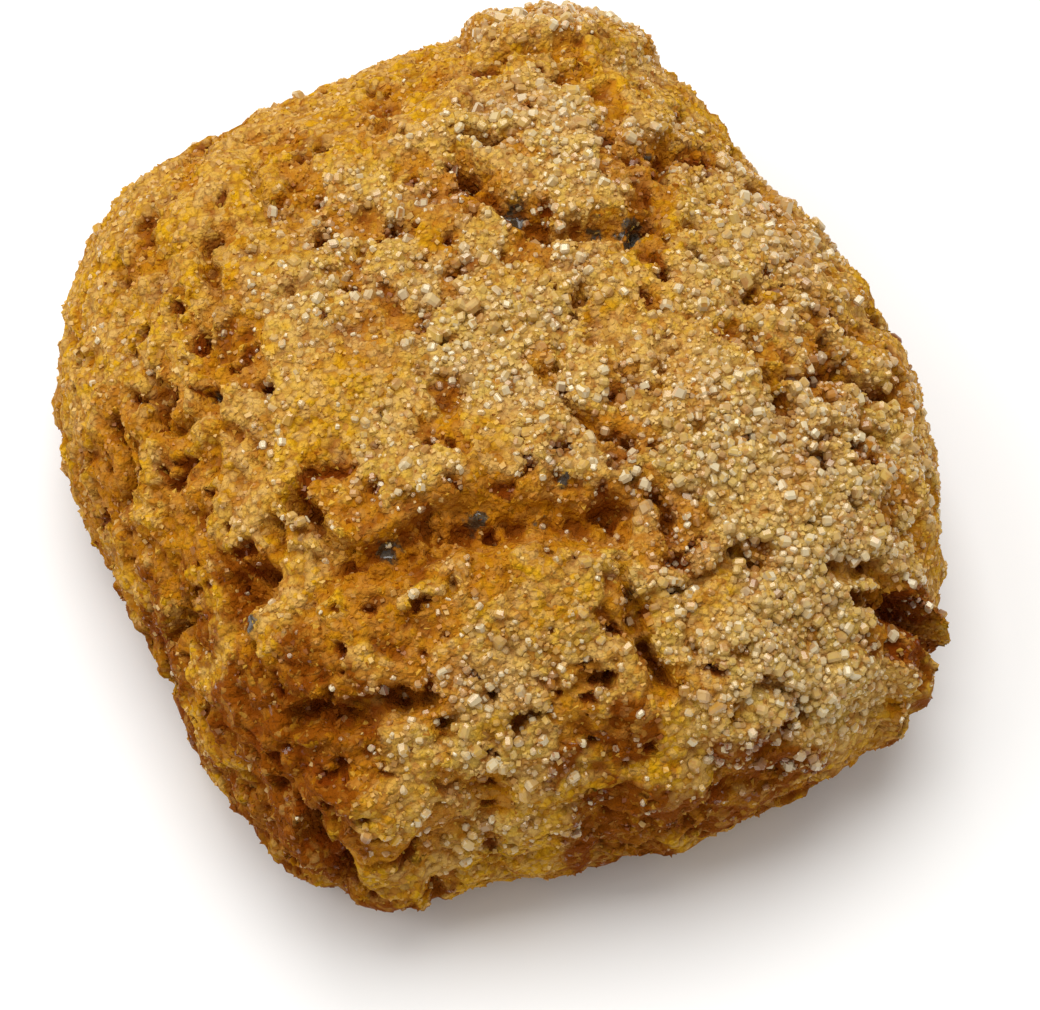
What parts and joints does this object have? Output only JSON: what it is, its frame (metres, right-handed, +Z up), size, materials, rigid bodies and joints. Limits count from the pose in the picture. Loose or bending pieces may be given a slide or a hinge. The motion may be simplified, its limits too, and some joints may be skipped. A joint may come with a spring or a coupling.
{
  "type": "amaretti cookie",
  "caption": "Round-cornered domed almond biscuit with a cracked, sugar-crusted top and a flat base to rest on.",
  "frame": {"origin": "centre of the bounding box in X and Y, on the flat base", "axes": "+Z up, out of the domed top; +Y along the longer plan diagonal, away from the picture's camera; +X to the picture's right"},
  "size_m": [0.0405, 0.044, 0.0171],
  "materials": {
    "crust": "dry golden-brown baked almond crust, matt and sandy, with glinting sugar crystals"
  },
  "bodies": {
    "root": {"cookie": "crust"}
  },
  "joints": []
}
